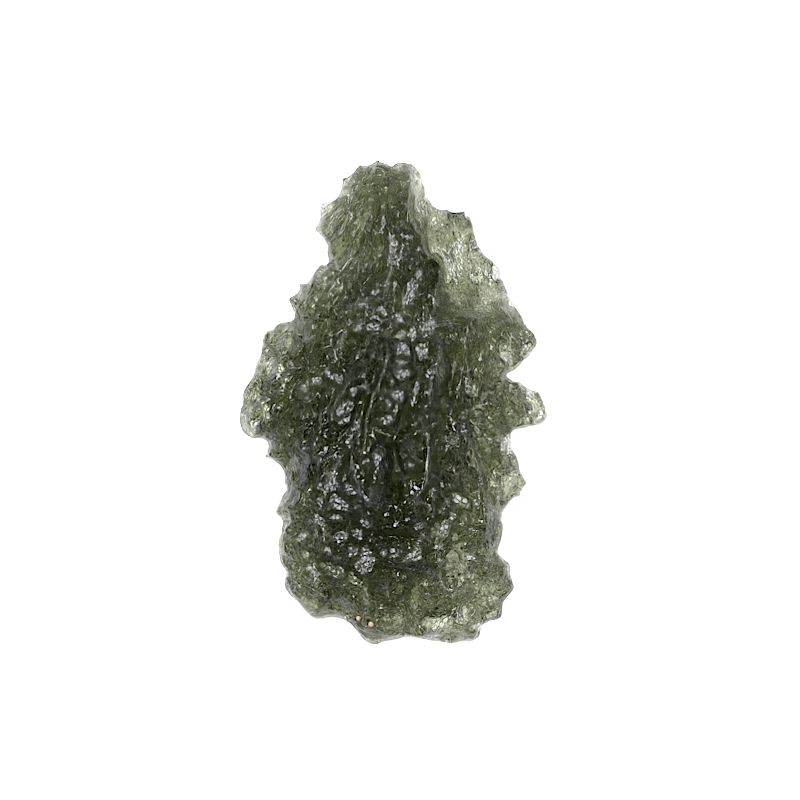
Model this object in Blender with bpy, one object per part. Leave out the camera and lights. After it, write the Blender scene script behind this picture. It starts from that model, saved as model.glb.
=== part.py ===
"""A moldavite: one ragged piece of green natural glass, lying on its back on a small flat spot.

Metres, +Z up. The stone's length runs along Y and its thickness along Z. The origin is the
middle of the outline's box, on the plane that the flat spot rests on.
"""

import math

import bmesh
import bpy
import numpy as np
from mathutils import Vector, geometry, noise

MM = 0.001

# Driving dimensions
STONE_LENGTH = 32.3 * MM
FLAT_SPOT_WIDTH = 6.4 * MM
FLAT_SPOT_LENGTH = 8.8 * MM
FLAT_SPOT_LEVEL = 0.0
LOWEST_BESIDE_FLAT = 0.25 * MM
FLAT_SPOT_SHOULDER = 1.4
FLAT_SPOT_RAGGEDNESS = 0.34
SKIN_SPACING = 0.56 * MM
RIM_BAND = 0.2 * MM
LEAST_RIM_GAP = 0.16 * MM
LEAST_LIP_RIM_GAP = 0.3 * MM
THINNEST_ROUNDING = 0.45 * MM
ROUNDING_SHARE = 0.9
SOUNDING_REACH = 1.9 * MM
LIP_WIDTH = 0.3 * MM
LIP_POINT_SPACING = 0.42 * MM
BACK_BLEND_WIDTH = 3.0 * MM
LUMP_SIZE = 2.6 * MM
LUMP_HEIGHT = 0.32 * MM
LUMP_OCTAVES = 3
LUMP_FADE = 0.9
LUMP_STEP = 2.1

# Tolerances: points that count as one, points that count as on the rim, and the least share
# that a far sounding keeps in a blend
SAME_POINT = 0.0001 * MM
ON_RIM_REACH = 0.001 * MM
FAR_WEIGHT = 1e-12

# The glass as the eye takes it on a white ground
GLASS_GREEN = (0.118, 0.141, 0.068, 1.0)
GLASS_ROUGHNESS = 0.22
GLASS_IOR = 1.49

# Traced places are in the photograph's own frame of 800 by 800 pixels, with y down.
OUTLINE_TOP_PX = 160
OUTLINE_BOTTOM_PX = 644
OUTLINE_LEFT_PX = 240.5
OUTLINE_RIGHT_PX = 548.5
PIXEL = STONE_LENGTH / (OUTLINE_BOTTOM_PX - OUTLINE_TOP_PX)
MIDDLE_X_PX = (OUTLINE_LEFT_PX + OUTLINE_RIGHT_PX) / 2
MIDDLE_Y_PX = (OUTLINE_TOP_PX + OUTLINE_BOTTOM_PX) / 2
FLAT_SPOT_PX = (391.5, 432)

# The outline, clockwise from the top of the crown. Each stretch ends at a notch or a tip.
CROWN_PX = (
    (377, 160), (382, 161), (388, 163.5), (391, 166), (394, 164), (398, 161.5), (406, 161),
    (412, 163), (416, 167), (421, 170), (423.5, 174), (425, 183), (427, 187.5), (428, 192.5),
    (432, 201.5), (436, 205), (441, 207),
)
THIN_FLAKE_PX = (
    (445.5, 206.5), (450, 209.5), (461, 209), (466, 212), (472, 216.5), (474, 221.5), (476.5, 232),
    (478, 242), (481, 248.5), (485, 253.5), (488.5, 258), (492, 258.5), (496, 261), (499.5, 264.5),
    (501, 269), (503, 272), (503, 278), (506, 288.5), (510, 292.5), (511.5, 297.5), (516, 304.5),
    (521, 311), (524.5, 314.5), (526, 322.5),
)
UPPER_RIGHT_LOBE_PX = (
    (530, 327.5), (534.5, 331), (537.5, 337), (539, 342), (538, 346), (535, 351), (531, 356),
    (527.5, 360), (521, 363.5), (518, 367.5), (514, 370), (509, 372.5), (505, 376),
)
LOWER_RIGHT_LOBE_PX = (
    (510, 378.5), (520, 381), (522.5, 385.5), (525, 386), (530, 388.5), (539, 389), (542, 392),
    (543.5, 397), (545, 400), (547, 406), (548.5, 411), (548, 419), (545, 422.5), (536, 427),
    (527, 427.5), (520, 429), (513.5, 430),
)
RIGHT_WINDOWS_PX = (
    (511.5, 435), (511, 440), (513, 450), (515.5, 456), (518.5, 459.5), (519.5, 465), (521, 469),
    (520, 472.5), (523, 474), (525, 479), (529.5, 482), (525, 486.5), (520.5, 490.5),
)
RIGHT_FLANK_PX = (
    (521.5, 495), (520, 498), (514.5, 498.5), (511, 501.5), (506, 508.5), (503, 512), (502.5, 516),
    (505.5, 527), (504.5, 535), (502.5, 541), (500, 547.5), (497.5, 553),
)
LOWER_RIGHT_CORNER_PX = (
    (500, 555), (505, 561), (509, 564), (510, 570), (511, 577), (514, 582.5), (515, 588.5),
    (511, 593.5), (506, 599), (502.5, 605), (501.5, 610), (502.5, 614.5), (501, 617.5),
    (497.5, 620), (490, 621), (486, 623.5), (481.5, 629), (480, 637.5), (476.5, 640), (470, 642),
)
FOOT_PX = (
    (460, 641.5), (454, 643), (443, 642.5), (430, 641), (418, 640), (406, 638.5), (400, 638),
    (391, 641), (385, 642.5), (372, 644), (365, 639.5), (361, 636), (359, 632.5), (349, 624),
    (343, 620.5), (336, 618), (330, 617.5), (322, 620), (315, 620.5),
)
LOWER_LEFT_CORNER_PX = (
    (310, 617.5), (305, 613), (300, 607.5), (296, 602), (290, 595.5), (285.5, 590), (284, 583),
    (283.5, 577), (287, 573),
)
LEFT_FLANK_PX = (
    (283, 567), (280, 563), (278, 552), (277, 546), (277.5, 536.5), (282, 533), (281, 530),
    (283.5, 520.5), (280, 518.5), (276, 516), (273.5, 510), (275, 507), (279, 499.5),
    (278.5, 496), (284.5, 490), (285, 487), (283.5, 483.5), (285, 476), (283.5, 471.5),
    (279, 466), (277, 463.5), (270, 460), (263, 458.5), (264.5, 455), (266, 451), (268, 443),
)
LEFT_LOBE_PX = (
    (263, 439), (254, 438.5), (247, 434.5), (242.5, 430), (241, 424), (240.5, 418), (242, 408),
    (243, 404), (242, 392), (245, 387.5), (250.5, 379), (253, 374), (256.5, 365), (259.5, 350),
    (261, 341), (262, 336.5), (266, 330),
)
UPPER_LEFT_STEPS_PX = (
    (270, 329), (277, 324), (281.5, 321.5), (285, 322), (292, 321), (295, 319.5), (294, 315),
    (292, 310), (289.5, 300), (291, 298), (295, 296), (299, 290), (298.5, 286), (297.5, 283),
    (306, 283), (308, 281.5), (309, 278), (312, 274), (318, 266), (321, 264), (329.5, 263),
)
UPPER_LEFT_FLAKE_PX = (
    (327.5, 257), (326, 252), (325.5, 246), (324, 242), (320, 236), (316, 230), (313, 227),
    (316.5, 221), (318, 216), (318, 211), (321, 204), (325, 202), (330, 201), (335, 198),
    (339, 194), (341, 190), (342, 181), (342.5, 176.5), (346, 177), (350, 175), (352, 171),
    (356, 167), (360, 164), (366, 165), (369, 164.5), (373, 161.5),
)
OUTLINE_PX = (
    CROWN_PX + THIN_FLAKE_PX + UPPER_RIGHT_LOBE_PX + LOWER_RIGHT_LOBE_PX + RIGHT_WINDOWS_PX
    + RIGHT_FLANK_PX + LOWER_RIGHT_CORNER_PX + FOOT_PX + LOWER_LEFT_CORNER_PX + LEFT_FLANK_PX
    + LEFT_LOBE_PX + UPPER_LEFT_STEPS_PX + UPPER_LEFT_FLAKE_PX
)

# Soundings of the thick body: place, then the level of its back and of its front in mm.
BODY_SOUNDINGS = (
    ((377, 176), 2.5, 6.0), ((402, 178), 2.4, 5.6), ((352, 190), 2.7, 5.4), ((328, 216), 3.6, 5.2),
    ((332, 240), 3.2, 5.6), ((372, 215), 1.8, 7.0), ((400, 215), 1.6, 6.9), ((350, 255), 2.3, 6.6),
    ((385, 255), 1.0, 7.6), ((418, 262), 1.0, 7.5), ((325, 285), 2.9, 6.3), ((304, 300), 3.6, 6.0),
    ((350, 300), 1.5, 7.7), ((390, 305), 0.7, 8.3), ((425, 310), 0.8, 8.0), ((300, 335), 2.7, 6.9),
    ((276, 345), 3.5, 6.4), ((330, 345), 1.0, 8.2), ((375, 355), 0.3, 8.8), ((420, 355), 0.6, 8.4),
    ((455, 340), 1.4, 7.0), ((480, 330), 2.0, 5.9), ((462, 310), 1.8, 6.2), ((268, 372), 3.2, 6.7),
    ((295, 385), 2.1, 7.7), ((335, 400), 0.4, 8.8), ((380, 405), -0.1, 9.1), ((425, 400), 0.3, 8.6),
    ((460, 385), 1.2, 7.3), ((492, 372), 2.3, 6.3), ((505, 345), 2.9, 5.9), ((524, 343), 3.4, 5.5),
    ((252, 412), 3.9, 6.4), ((275, 425), 2.7, 7.3), ((305, 440), 1.3, 8.3), ((350, 450), -0.1, 9.2),
    ((395, 455), -0.2, 9.1), ((440, 440), 0.7, 8.0), ((478, 415), 2.0, 6.8), ((505, 403), 2.6, 6.3),
    ((532, 405), 3.5, 5.9), ((475, 455), 2.3, 6.3), ((500, 480), 2.9, 5.2), ((517, 484), 3.2, 5.1),
    ((300, 490), 1.2, 8.3), ((345, 500), -0.1, 9.0), ((395, 505), 0.0, 8.9), ((440, 495), 0.7, 8.1),
    ((478, 505), 1.9, 6.7), ((500, 525), 2.7, 5.8), ((295, 540), 1.9, 7.8), ((335, 545), 0.5, 8.6),
    ((380, 550), 0.3, 8.8), ((425, 550), 0.7, 8.3), ((465, 550), 1.7, 7.0), ((492, 570), 2.8, 5.6),
    ((298, 585), 2.6, 6.7), ((335, 590), 1.7, 7.6), ((385, 592), 1.4, 7.5), ((430, 590), 2.0, 6.8),
    ((475, 592), 2.6, 5.6), ((380, 625), 2.6, 6.0), ((425, 625), 2.7, 5.7), ((462, 620), 2.9, 5.0),
    ((310, 608), 3.0, 5.9), ((492, 605), 2.9, 5.1),
)

# The thin flake sits lower than the body, which overhangs it along a lip.
FLAKE_SOUNDINGS = (
    ((425, 195), 2.0, 3.9), ((445, 220), 1.7, 4.3), ((465, 222), 2.1, 4.2), ((432, 235), 1.4, 3.6),
    ((452, 250), 1.6, 3.6), ((475, 245), 2.1, 3.5), ((455, 280), 1.4, 4.2), ((480, 275), 2.0, 3.7),
    ((495, 275), 2.3, 3.5), ((500, 300), 2.4, 3.9), ((470, 305), 1.7, 4.8), ((515, 320), 2.7, 4.2),
)
LIP_PX = (
    (418, 150), (413, 175), (411, 200), (410, 212), (415, 225), (424, 238), (424, 248), (430, 257),
    (438, 260), (441, 268), (440, 280), (437, 292), (441, 310), (452, 335),
)
LIP_FADES_FROM_PX = 285
LIP_GONE_BY_PX = 335

# Broad flow ridges (raised) and gutters (sunk) of the front: route, half width, height in mm.
FRONT_FLOW = (
    (((290, 470), (300, 430), (322, 385), (350, 345)), 0.75, -0.45),
    (((300, 500), (318, 455), (335, 415), (360, 370), (385, 335)), 0.60, 0.35),
    (((335, 470), (352, 420), (372, 375)), 0.60, -0.40),
    (((300, 350), (322, 315), (345, 280), (360, 245)), 0.60, 0.30),
    (((280, 400), (300, 365), (318, 335)), 0.60, 0.30),
    (((443, 347), (434, 375), (427, 405), (428, 440), (427, 475), (415, 502)), 0.45, 0.45),
    (((452, 350), (446, 385), (442, 425), (444, 470)), 0.60, -0.40),
    (((377, 452), (377, 478), (378, 505)), 0.75, 0.40),
    (((402, 440), (410, 470), (404, 500)), 0.60, 0.30),
    (((393, 445), (394, 475), (391, 505)), 0.45, -0.35),
    (((370, 200), (378, 235), (385, 275)), 0.55, -0.35),
    (((390, 190), (396, 230), (402, 275)), 0.50, 0.30),
    (((463, 430), (478, 470), (484, 510), (486, 560)), 0.60, 0.40),
    (((485, 400), (500, 392), (518, 388)), 0.50, -0.35),
    (((300, 560), (335, 578), (365, 585)), 0.60, -0.40),
    (((340, 520), (365, 535), (400, 530), (440, 520)), 0.60, -0.35),
)
BACK_FLOW = (
    (((300, 350), (330, 320), (350, 280), (365, 230)), 0.80, -0.50),
    (((450, 300), (440, 350), (452, 400), (470, 440)), 0.80, -0.55),
    (((275, 400), (300, 430), (305, 480), (300, 530)), 0.80, -0.50),
    (((430, 600), (440, 560), (455, 520), (480, 490)), 0.70, -0.50),
    (((330, 600), (350, 570), (390, 560)), 0.70, -0.45),
    (((480, 360), (500, 350), (520, 345)), 0.50, -0.30),
    (((410, 240), (405, 280), (415, 320)), 0.60, 0.35),
    (((350, 575), (390, 590), (440, 600)), 0.60, 0.30),
)
FLOW_MARGIN = 0.8 * MM


def metres(place):
    """A traced place in the photograph as a point of the stone's own plan."""
    x, y = place
    return np.array(((x - MIDDLE_X_PX) * PIXEL, (MIDDLE_Y_PX - y) * PIXEL))


def route(places):
    return np.array([metres(place) for place in places])


def distance_to(points, line, closed=False):
    """Each point's distance to a broken line, with its side: positive on the left of the line."""
    starts = line
    ends = np.roll(line, -1, axis=0)
    if not closed:
        starts, ends = line[:-1], line[1:]
    best = np.full(len(points), np.inf)
    side = np.ones(len(points))
    for start, end in zip(starts, ends):
        along = end - start
        to_point = points - start
        share = np.clip(to_point @ along / (along @ along), 0, 1)
        off = to_point - share[:, None] * along
        distance = np.hypot(off[:, 0], off[:, 1])
        turn = along[0] * to_point[:, 1] - along[1] * to_point[:, 0]
        nearer = distance < best
        best[nearer] = distance[nearer]
        side[nearer] = np.sign(turn[nearer])
    return best, side


def smooth_step(values, low, high):
    share = np.clip((values - low) / (high - low), 0, 1)
    return share * share * (3 - 2 * share)


def inside(points, outline):
    """Which points lie within the closed outline, by counting the edges to their right."""
    crossings = np.zeros(len(points), int)
    for (x1, y1), (x2, y2) in zip(outline, np.roll(outline, -1, axis=0)):
        spans = (points[:, 1] < y1) != (points[:, 1] < y2)
        if y1 == y2 or not spans.any():
            continue
        meets = x1 + (points[:, 1] - y1) / (y2 - y1) * (x2 - x1)
        crossings += spans & (points[:, 0] < meets)
    return crossings % 2 == 1


def points_along(line, spacing):
    """Evenly spaced points on a broken line, with the direction square to the line at each."""
    runs = np.diff(line, axis=0)
    lengths = np.hypot(*runs.T)
    travelled = np.concatenate(([0], np.cumsum(lengths)))
    stations = np.arange(0, travelled[-1], spacing)
    places = np.stack([np.interp(stations, travelled, line[:, axis]) for axis in (0, 1)], 1)
    run = np.clip(np.searchsorted(travelled, stations, side="right") - 1, 0, len(runs) - 1)
    square = np.stack((runs[:, 1], -runs[:, 0]), 1) / lengths[:, None]
    return places, square[run]


def rim_points(outline):
    """A band of points just inside the rim, so that the edge of the stone is round."""
    along = np.roll(outline, -1, axis=0) - np.roll(outline, 1, axis=0)
    inward = np.stack((along[:, 1], -along[:, 0]), 1) / np.hypot(*along.T)[:, None]
    rim = outline + RIM_BAND * inward
    rim = rim[inside(rim, outline)]
    return rim[distance_to(rim, outline, closed=True)[0] > LEAST_RIM_GAP]


def lip_points(outline):
    """Two rows of points along the lip, one at its crest and one at its foot."""
    places, square = points_along(route(LIP_PX), LIP_POINT_SPACING)
    rows = np.concatenate([places + side * LIP_WIDTH / 2 * square for side in (-1, 1)])
    rows = rows[inside(rows, outline)]
    return rows[distance_to(rows, outline, closed=True)[0] > LEAST_LIP_RIM_GAP]


def grid_points(outline):
    """An even triangular grid over the rest of the plan."""
    low, high = outline.min(0), outline.max(0)
    row_height = SKIN_SPACING * math.sqrt(3) / 2
    grid = []
    for row in range(int((high[1] - low[1]) / row_height) + 1):
        shift = SKIN_SPACING / 2 if row % 2 else 0
        for column in range(int((high[0] - low[0]) / SKIN_SPACING) + 1):
            grid.append((low[0] + shift + column * SKIN_SPACING, low[1] + row * row_height))
    grid = np.array(grid)
    grid = grid[inside(grid, outline)]
    grid = grid[distance_to(grid, outline, closed=True)[0] > RIM_BAND + SKIN_SPACING / 2]
    return grid[distance_to(grid, route(LIP_PX))[0] > LIP_WIDTH / 2 + SKIN_SPACING / 2]


def sounded(points, soundings):
    """The levels of the back and the front at each point, blended from the nearby soundings."""
    weights = np.zeros(len(points))
    levels = np.zeros((len(points), 2))
    for place, back, front in soundings:
        off = points - metres(place)
        weight = np.exp(-(off**2).sum(1) / (2 * SOUNDING_REACH**2)) + FAR_WEIGHT
        weights += weight
        levels += weight[:, None] * (back * MM, front * MM)
    return levels / weights[:, None]


def levels_before_rounding(points):
    """The back and front levels, where only the front drops in one step from body to flake."""
    body = sounded(points, BODY_SOUNDINGS)
    flake = sounded(points, FLAKE_SOUNDINGS)
    distance, side = distance_to(points, route(LIP_PX))
    fade_top = (MIDDLE_Y_PX - LIP_FADES_FROM_PX) * PIXEL
    fade_foot = (MIDDLE_Y_PX - LIP_GONE_BY_PX) * PIXEL
    fading = smooth_step(points[:, 1], fade_foot, fade_top)
    widths = (BACK_BLEND_WIDTH, LIP_WIDTH)
    on_flake = [smooth_step(distance * side, -width / 2, width / 2) * fading for width in widths]
    return body + np.stack(on_flake, 1) * (flake - body)


def flow(points, strokes, rim_distance):
    """The relief of the ridges and gutters, dying out towards the rim and at each stroke's ends."""
    relief = np.zeros(len(points))
    for places, half_width, height in strokes:
        distance, _ = distance_to(points, route(places))
        relief += height * MM * np.exp(-((distance / (half_width * MM)) ** 2))
    return relief * smooth_step(rim_distance, 0, FLOW_MARGIN)


def lumps(points, level, rim_distance):
    """Slow swells of the skin, from coherent noise that is the same on every run."""
    spots = [Vector((x, y, level)) / LUMP_SIZE for x, y in points]
    swell = [noise.fractal(spot, LUMP_FADE, LUMP_STEP, LUMP_OCTAVES) for spot in spots]
    return LUMP_HEIGHT * np.array(swell) * smooth_step(rim_distance, 0, FLOW_MARGIN)


def with_flat_spot(points, back):
    """The back, worn flat in a ragged patch under the centre of mass, with a sloping shoulder."""
    off = (points - metres(FLAT_SPOT_PX)) / (FLAT_SPOT_WIDTH / 2, FLAT_SPOT_LENGTH / 2)
    wander = [noise.noise(Vector((x, y, 0)) / LUMP_SIZE) for x, y in points]
    reach = np.hypot(off[:, 0], off[:, 1]) + FLAT_SPOT_RAGGEDNESS * np.array(wander)
    kept = smooth_step(reach, 1, FLAT_SPOT_SHOULDER)
    return FLAT_SPOT_LEVEL + kept * (back - FLAT_SPOT_LEVEL)


def surface_levels(points, outline):
    """The final level of the back and of the front over each point of the plan."""
    rim_distance, _ = distance_to(points, outline, closed=True)
    back, front = levels_before_rounding(points).T
    middle = (back + front) / 2
    half = (front - back) / 2
    reach = np.maximum(ROUNDING_SHARE * half, THINNEST_ROUNDING)
    share = np.clip(rim_distance / reach, 0, 1)
    rounding = np.sqrt(1 - (1 - share) ** 2)
    front = middle + half * rounding + flow(points, FRONT_FLOW, rim_distance)
    back = middle - half * rounding - flow(points, BACK_FLOW, rim_distance)
    front += lumps(points, STONE_LENGTH, rim_distance)
    back += lumps(points, FLAT_SPOT_LEVEL, rim_distance)
    return with_flat_spot(points, np.maximum(back, LOWEST_BESIDE_FLAT)), front


def plan_triangles(outline):
    """The plan's points and triangles. No triangle edge cuts across between two rim points."""
    plan = np.concatenate((outline, rim_points(outline), lip_points(outline), grid_points(outline)))
    rim_edges = [(i, (i + 1) % len(outline)) for i in range(len(outline))]
    inner_faces = 1
    while True:
        points, _, triangles, *_ = geometry.delaunay_2d_cdt(
            [Vector(point) for point in plan], rim_edges, [], inner_faces, SAME_POINT
        )
        points = np.array([tuple(point) for point in points])
        on_rim = distance_to(points, outline, closed=True)[0] < ON_RIM_REACH
        chords = set()
        for a, b, c in triangles:
            for start, end in ((a, b), (b, c), (c, a)):
                if on_rim[start] and on_rim[end]:
                    chords.add((min(start, end), max(start, end)))
        chords = np.array([(points[start] + points[end]) / 2 for start, end in sorted(chords)])
        chords = chords[distance_to(chords, outline, closed=True)[0] > 2 * ON_RIM_REACH]
        if not len(chords):
            return points, triangles, on_rim
        plan = np.concatenate((plan, chords))


def stone_mesh(name):
    """Two skins over one triangulated plan, which meet along the rim."""
    outline = route(OUTLINE_PX)
    points, triangles, on_rim = plan_triangles(outline)
    back, front = surface_levels(points, outline)
    middle = (back + front) / 2
    body = bmesh.new()
    front_skin = []
    back_skin = []
    for index, (x, y) in enumerate(points):
        if on_rim[index]:
            shared = body.verts.new((x, y, middle[index]))
            front_skin.append(shared)
            back_skin.append(shared)
            continue
        front_skin.append(body.verts.new((x, y, front[index])))
        back_skin.append(body.verts.new((x, y, back[index])))
    for a, b, c in triangles:
        body.faces.new((front_skin[a], front_skin[b], front_skin[c]))
        body.faces.new((back_skin[c], back_skin[b], back_skin[a]))
    bmesh.ops.recalc_face_normals(body, faces=body.faces)
    mesh = bpy.data.meshes.new(name)
    body.to_mesh(mesh)
    body.free()
    return mesh


def glass_material():
    """Bottle-green natural glass with a naturally etched, half-matt skin."""
    material = bpy.data.materials.new("moldavite_glass")
    material.use_nodes = True
    shader = material.node_tree.nodes["Principled BSDF"]
    shader.inputs["Base Color"].default_value = GLASS_GREEN
    shader.inputs["Roughness"].default_value = GLASS_ROUGHNESS
    shader.inputs["Metallic"].default_value = 0.0
    shader.inputs["IOR"].default_value = GLASS_IOR
    return material


def clear_scene():
    for leftover in list(bpy.data.objects):
        bpy.data.objects.remove(leftover, do_unlink=True)


def build():
    clear_scene()
    parts = bpy.data.collections.new("moldavite_parts")
    bpy.context.scene.collection.children.link(parts)
    stone = bpy.data.objects.new("moldavite", stone_mesh("moldavite"))
    stone.data.materials.append(glass_material())
    parts.objects.link(stone)


build()
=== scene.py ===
import itertools
import math

import bmesh
import bpy
import numpy as np
from mathutils import Matrix, Vector
from mathutils.bvhtree import BVHTree


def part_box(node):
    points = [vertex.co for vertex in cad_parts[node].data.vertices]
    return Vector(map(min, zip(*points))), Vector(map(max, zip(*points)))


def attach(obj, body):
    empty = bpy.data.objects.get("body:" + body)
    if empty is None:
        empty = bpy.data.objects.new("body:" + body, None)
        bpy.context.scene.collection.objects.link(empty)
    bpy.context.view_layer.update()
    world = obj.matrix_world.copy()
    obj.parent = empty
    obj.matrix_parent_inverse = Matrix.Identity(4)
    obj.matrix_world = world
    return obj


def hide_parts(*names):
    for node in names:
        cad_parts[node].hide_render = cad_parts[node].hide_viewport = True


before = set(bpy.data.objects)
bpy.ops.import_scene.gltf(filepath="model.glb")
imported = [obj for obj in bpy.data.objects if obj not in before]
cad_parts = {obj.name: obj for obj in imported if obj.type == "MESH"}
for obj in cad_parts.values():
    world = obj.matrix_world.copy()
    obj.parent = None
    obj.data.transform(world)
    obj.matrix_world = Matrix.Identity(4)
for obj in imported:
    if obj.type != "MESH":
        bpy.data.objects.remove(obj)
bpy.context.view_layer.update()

# The ground, the light and the camera
# The stone lies on its back on a white light table, as small translucent stones are photographed.
# The table glows, a large soft lamp hangs over the stone, and the lens looks straight down.
MM = 0.001
STONE_LENGTH_PX = 484
STONE_MIDDLE_PX = (394.5, 402.0)
FRAME_SIDE_PX = 800
low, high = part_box("moldavite")
PIXEL = (high.y - low.y) / STONE_LENGTH_PX
RIM_LEVEL = 4.4 * MM


def place(x_px, y_px):
    """A traced place of the photograph as X and Y on the stone."""
    return np.array(((x_px - STONE_MIDDLE_PX[0]) * PIXEL, (STONE_MIDDLE_PX[1] - y_px) * PIXEL))


def linear(hex_colour):
    """An sRGB colour such as '#a0b080' as the linear RGBA that Blender's sockets take."""
    values = [int(hex_colour[i : i + 2], 16) / 255 for i in (1, 3, 5)]
    return [v / 12.92 if v <= 0.04045 else ((v + 0.055) / 1.055) ** 2.4 for v in values] + [1]


def add_node(tree, kind, settings=None, links=None):
    """Adds one node, sets its properties and input values, and links its inputs from other sockets."""
    node = tree.nodes.new(kind)
    for name, value in (settings or {}).items():
        if isinstance(name, int) or name in node.inputs:
            node.inputs[name].default_value = value
        else:
            setattr(node, name, value)
    for name, socket in (links or {}).items():
        tree.links.new(socket, node.inputs[name])
    return node


def new_material(name):
    material = bpy.data.materials.new(name)
    material.use_nodes = True
    material.node_tree.nodes.clear()
    return material, material.node_tree


TABLE_SIDE = 1.2
TABLE_GAP = 0.03 * MM
table_mesh = bpy.data.meshes.new("light_table")
corner = TABLE_SIDE / 2
table_mesh.from_pydata(
    [(-corner, -corner, 0), (corner, -corner, 0), (corner, corner, 0), (-corner, corner, 0)],
    [],
    [(0, 1, 2, 3)],
)
light_table = bpy.data.objects.new("light_table", table_mesh)
light_table.location.z = -TABLE_GAP
bpy.context.scene.collection.objects.link(light_table)
table_white, tree = new_material("opal_acrylic_light_table")
surface = add_node(
    tree,
    "ShaderNodeBsdfPrincipled",
    {
        "Base Color": linear("#e8e8e8"),
        "Roughness": 0.6,
        "Emission Color": linear("#ffffff"),
        "Emission Strength": 0.85,
    },
)
add_node(tree, "ShaderNodeOutputMaterial", links={"Surface": surface.outputs["BSDF"]})
table_mesh.materials.append(table_white)

LAMP_SIDE = 0.18
LAMP_DISTANCE = 0.30
LAMP_RADIANCE = 15.0
LAMP_TINT = "#f8f8ff"
# The lamps: azimuth and elevation, and share of the full radiance.
LAMPS = (("key_softbox", -30, 72, 1.0), ("fill_softbox", 75, 30, 0.06))


def direction_of(azimuth, elevation):
    """A unit vector towards a place in the studio: azimuth from +Y towards +X, and elevation."""
    turn, lift = math.radians(azimuth), math.radians(elevation)
    return Vector((math.sin(turn) * math.cos(lift), math.cos(turn) * math.cos(lift), math.sin(lift)))


key_direction = direction_of(*LAMPS[0][1:3])
for name, azimuth, elevation, share in LAMPS:
    lamp_data = bpy.data.lights.new(name, "AREA")
    lamp_data.size = LAMP_SIDE
    lamp_data.energy = LAMP_RADIANCE * share * math.pi * LAMP_SIDE**2
    lamp_data.color = linear(LAMP_TINT)[:3]
    lamp = bpy.data.objects.new(name, lamp_data)
    towards = direction_of(azimuth, elevation)
    lamp.location = towards * LAMP_DISTANCE
    lamp.rotation_euler = towards.to_track_quat("Z", "Y").to_euler()
    bpy.context.scene.collection.objects.link(lamp)

# The room around is dim: its grey level low down, and overhead.
ROOM_LEVELS = ((0.25, 0.22), (0.75, 0.03))
world = bpy.data.worlds.new("studio")
world.use_nodes = True
tree = world.node_tree
tree.nodes.clear()
direction = add_node(tree, "ShaderNodeTexCoord")
room_height = add_node(
    tree, "ShaderNodeSeparateXYZ", links={"Vector": direction.outputs["Generated"]}
)
room_grey = add_node(tree, "ShaderNodeValToRGB", links={"Fac": room_height.outputs["Z"]})
for stop, (position, level) in zip(room_grey.color_ramp.elements, ROOM_LEVELS):
    stop.position = position
    stop.color = (level, level, level, 1)
glow = add_node(tree, "ShaderNodeBackground", links={"Color": room_grey.outputs["Color"]})
add_node(tree, "ShaderNodeOutputWorld", links={"Surface": glow.outputs["Background"]})
bpy.context.scene.world = world

LENS_MM = 150
SENSOR_MM = 36
LIGHT_BOUNCES = 16
camera_data = bpy.data.cameras.new("camera")
camera_data.lens = LENS_MM
camera_data.sensor_width = SENSOR_MM
camera_data.clip_start = 0.01
camera = bpy.data.objects.new("camera", camera_data)
frame_middle = place(FRAME_SIDE_PX / 2, FRAME_SIDE_PX / 2)
camera_height = FRAME_SIDE_PX * PIXEL * LENS_MM / SENSOR_MM
camera.location = (frame_middle[0], frame_middle[1], RIM_LEVEL + camera_height)
bpy.context.scene.collection.objects.link(camera)
bpy.context.scene.camera = camera
bpy.context.scene.view_settings.view_transform = "Standard"
bpy.context.scene.cycles.max_bounces = LIGHT_BOUNCES
bpy.context.scene.cycles.transmission_bounces = LIGHT_BOUNCES

# The photograph was sharpened, as pictures of small stones are, so the render is too.
SHARPENING = 0.25
bpy.context.scene.use_nodes = True
tree = bpy.context.scene.node_tree
tree.nodes.clear()
picture = add_node(tree, "CompositorNodeRLayers")
sharpened = add_node(
    tree,
    "CompositorNodeFilter",
    {"filter_type": "SHARPEN_DIAMOND", "Fac": SHARPENING},
    {"Image": picture.outputs["Image"]},
)
add_node(tree, "CompositorNodeComposite", links={"Image": sharpened.outputs["Image"]})

# The stone
# One piece of natural glass, thrown out molten by an impact and then etched for millions of years
# in wet ground, which left crests, gutters and cups that follow the flow lines of the glass.
# The size of the quads in its rough and its fine skin, and the most triangles that it ends with.
ROUGH_VOXEL = 0.15 * MM
FINE_VOXEL = 0.112 * MM
MOST_TRIANGLES = 195000


def remeshed(mesh, voxel):
    """The mesh as an even skin of quads of the given size, made by Blender's voxel remesh."""
    holder = bpy.data.objects.new("remesh_holder", mesh)
    bpy.context.scene.collection.objects.link(holder)
    modifier = holder.modifiers.new("even_skin", "REMESH")
    modifier.mode = "VOXEL"
    modifier.voxel_size = voxel
    graph = bpy.context.evaluated_depsgraph_get()
    even = bpy.data.meshes.new_from_object(holder.evaluated_get(graph))
    bpy.data.objects.remove(holder)
    return even


def thinned(mesh, most_triangles):
    """The mesh with its flattest edges collapsed, down to the given number of triangles."""
    mesh.shade_smooth()
    holder = bpy.data.objects.new("thinning_holder", mesh)
    bpy.context.scene.collection.objects.link(holder)
    modifier = holder.modifiers.new("fewer_triangles", "DECIMATE")
    modifier.ratio = min(1.0, most_triangles / (2 * len(mesh.polygons)))
    graph = bpy.context.evaluated_depsgraph_get()
    thin = bpy.data.meshes.new_from_object(holder.evaluated_get(graph))
    bpy.data.objects.remove(holder)
    return thin


def points_and_normals(mesh):
    """A mesh's points and its normals at them, each as rows of X, Y and Z."""
    count = len(mesh.vertices)
    points = np.empty(count * 3, np.float32)
    normals = np.empty(count * 3, np.float32)
    mesh.vertices.foreach_get("co", points)
    mesh.vertex_normals.foreach_get("vector", normals)
    return points.reshape(-1, 3).astype(float), normals.reshape(-1, 3).astype(float)


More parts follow.
